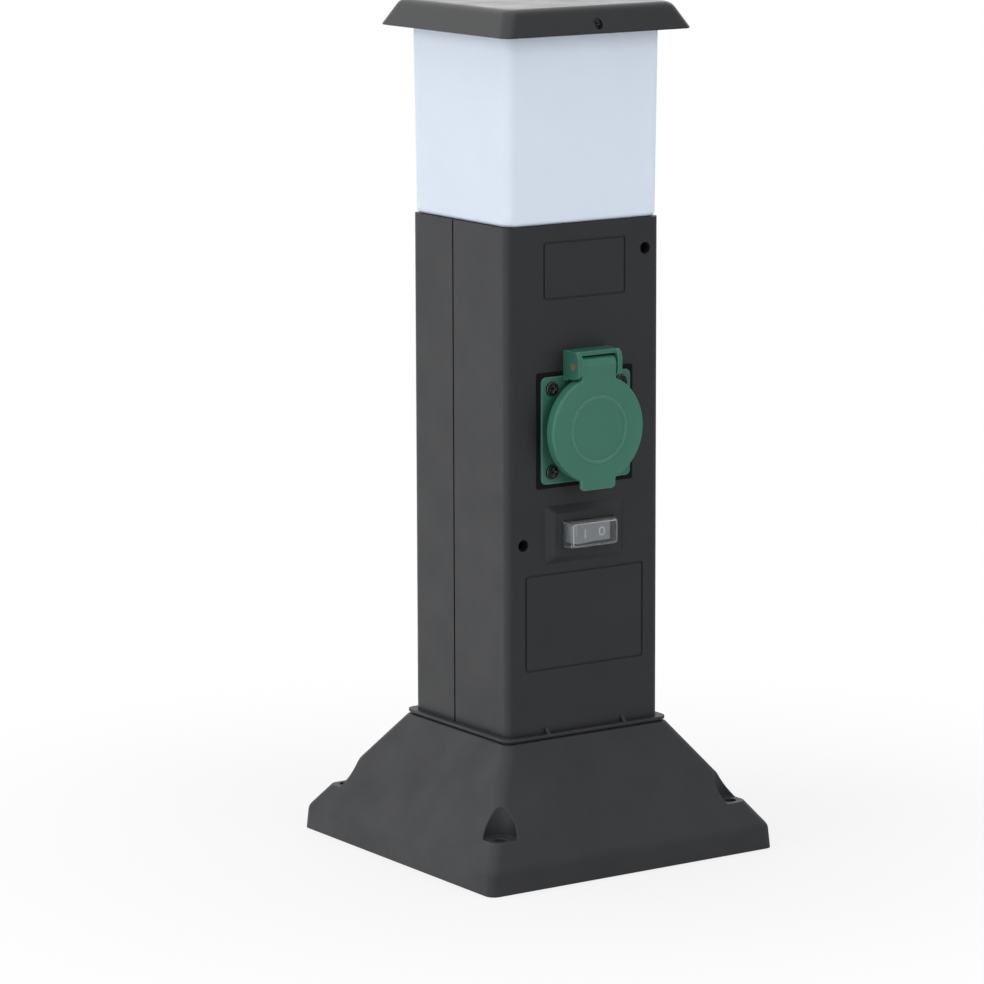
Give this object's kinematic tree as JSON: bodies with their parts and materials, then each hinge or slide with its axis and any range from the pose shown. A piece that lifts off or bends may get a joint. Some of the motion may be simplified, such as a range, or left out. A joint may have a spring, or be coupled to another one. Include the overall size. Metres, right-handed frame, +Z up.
{
  "type": "garden socket post with lamp",
  "caption": "Square anthracite garden post on a hollow bolt-down plinth, with a hinged-lid earthed outlet, a rocker switch under a clear boot and an opal lamp under a flat cap.",
  "frame": {"origin": "centre of the base on the ground", "axes": "+Z up, the outlet faces -Y, +X to the right seen from the front"},
  "size_m": [0.16, 0.16, 0.395],
  "materials": {
    "post_plastic": "fine satin moulded anthracite plastic",
    "lid_green": "satin moulded green plastic",
    "flange_green": "satin moulded dark green plastic",
    "opal_plastic": "opal white plastic",
    "white_plastic": "plain moulded white",
    "black_plastic": "plain moulded black",
    "black_rubber": "soft matte",
    "black_screw": "blackened steel",
    "zinc_steel": "zinc plated",
    "spring_steel": "drawn wire",
    "brass": "plain strip",
    "copper_pin": "drawn copper-coloured pin",
    "clear_boot": "clear soft plastic",
    "rocker_grey": "satin moulded grey",
    "bulb_metal": "pressed metal"
  },
  "bodies": {
    "post": {"base_plinth": "post_plastic", "base_collar": "post_plastic", "base_screws": "zinc_steel", "front_shell": "post_plastic", "rear_shell": "post_plastic", "shell_screws": "zinc_steel", "cable_clamp": "black_plastic", "clamp_screws": "zinc_steel", "terminal_block": "white_plastic", "terminal_screws": "zinc_steel", "socket_gasket": "black_rubber", "socket_flange": "flange_green", "socket_core": "flange_green", "socket_screws": "black_screw", "line_contact": "brass", "neutral_contact": "brass", "earth_clips": "brass", "contact_screws": "zinc_steel", "hinge_pin": "copper_pin", "lid_spring": "spring_steel", "switch_boot": "clear_boot", "switch_body": "black_plastic", "switch_blades": "brass", "switch_bracket": "black_plastic", "bracket_screws": "zinc_steel", "lamp_tray": "white_plastic", "lamp_gasket": "black_rubber", "lamp_diffuser": "opal_plastic", "diffuser_screws": "zinc_steel", "lamp_holder": "white_plastic", "holder_screws": "zinc_steel", "lamp_sleeve": "brass", "lamp_contact": "brass", "bulb_base": "bulb_metal", "bulb_housing": "white_plastic", "bulb_globe": "opal_plastic", "cap": "post_plastic", "cap_screws": "zinc_steel"},
    "lid": {"socket_lid": "lid_green", "lid_seal": "black_rubber"},
    "rocker": {"switch_rocker": "rocker_grey"}
  },
  "joints": [
    {"name": "lid_hinge", "type": "hinge", "parent": "post", "child": "lid", "pos_m": [0, -0.0474, 0.2318], "axis": [-1, 0, 0], "range_deg": [0, 105], "stiffness_Nm_per_rad": 0.002, "springref_deg": -85.94},
    {"name": "rocker_tilt", "type": "hinge", "parent": "post", "child": "rocker", "pos_m": [0, -0.0377, 0.1534], "axis": [0, 0, -1], "range_deg": [0, 16]}
  ]
}
